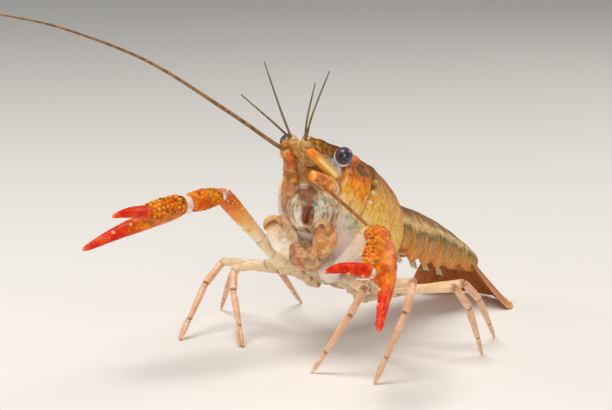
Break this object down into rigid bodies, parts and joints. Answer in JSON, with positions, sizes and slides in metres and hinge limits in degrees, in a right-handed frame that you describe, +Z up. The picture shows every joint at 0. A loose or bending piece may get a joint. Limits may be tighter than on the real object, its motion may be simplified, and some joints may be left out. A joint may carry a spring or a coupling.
{
  "type": "crayfish",
  "caption": "Life-size still model of a red swamp crayfish rearing up on its walking legs, claws open and raised, feelers spread and tail fan down.",
  "frame": {"origin": "on the floor under the middle of the whole model's box", "axes": "+Z up, the animal faces -Y and its left side is +X"},
  "size_m": [0.0792, 0.0894, 0.0542],
  "materials": {
    "olive_ochre_shell": "semi-gloss mottled shell plate",
    "pale_underside": "satin translucent pale shell",
    "orange_red_claw": "semi-gloss tubercled claw shell",
    "tan_limb": "satin translucent limb shell",
    "brown_feeler": "satin ringed feeler",
    "dark_cornea": "glossy dark eye"
  },
  "bodies": {
    "root": {"abdomen_1": "olive_ochre_shell", "abdomen_2": "olive_ochre_shell", "abdomen_3": "olive_ochre_shell", "abdomen_4": "olive_ochre_shell", "abdomen_5": "olive_ochre_shell", "abdomen_6": "olive_ochre_shell", "antenna_base_left": "brown_feeler", "antenna_base_right": "brown_feeler", "antenna_scale_left": "brown_feeler", "antenna_scale_right": "brown_feeler", "antennule_left": "brown_feeler", "antennule_right": "brown_feeler", "carapace": "olive_ochre_shell", "cheliped_left_base": "tan_limb", "cheliped_left_carpus": "tan_limb", "cheliped_left_finger": "orange_red_claw", "cheliped_left_hand": "orange_red_claw", "cheliped_left_merus": "tan_limb", "cheliped_right_base": "tan_limb", "cheliped_right_carpus": "tan_limb", "cheliped_right_finger": "orange_red_claw", "cheliped_right_hand": "orange_red_claw", "cheliped_right_merus": "tan_limb", "eye_left": "dark_cornea", "eye_right": "dark_cornea", "eyestalk_left": "pale_underside", "eyestalk_right": "pale_underside", "face": "pale_underside", "flagellum_left_far": "brown_feeler", "flagellum_left_near": "brown_feeler", "flagellum_right_far": "brown_feeler", "flagellum_right_near": "brown_feeler", "leg_left_2_lower": "tan_limb", "leg_left_2_upper": "tan_limb", "leg_left_3_lower": "tan_limb", "leg_left_3_upper": "tan_limb", "leg_left_4_lower": "tan_limb", "leg_left_4_upper": "tan_limb", "leg_left_5_lower": "tan_limb", "leg_left_5_upper": "tan_limb", "leg_right_2_lower": "tan_limb", "leg_right_2_upper": "tan_limb", "leg_right_3_lower": "tan_limb", "leg_right_3_upper": "tan_limb", "leg_right_4_lower": "tan_limb", "leg_right_4_upper": "tan_limb", "leg_right_5_lower": "tan_limb", "leg_right_5_upper": "tan_limb", "maxilliped_left_base": "pale_underside", "maxilliped_left_palp": "pale_underside", "maxilliped_right_base": "pale_underside", "maxilliped_right_palp": "pale_underside", "sternum": "pale_underside", "telson": "olive_ochre_shell", "uropod_left_inner": "olive_ochre_shell", "uropod_left_outer": "olive_ochre_shell", "uropod_right_inner": "olive_ochre_shell", "uropod_right_outer": "olive_ochre_shell"}
  },
  "joints": []
}
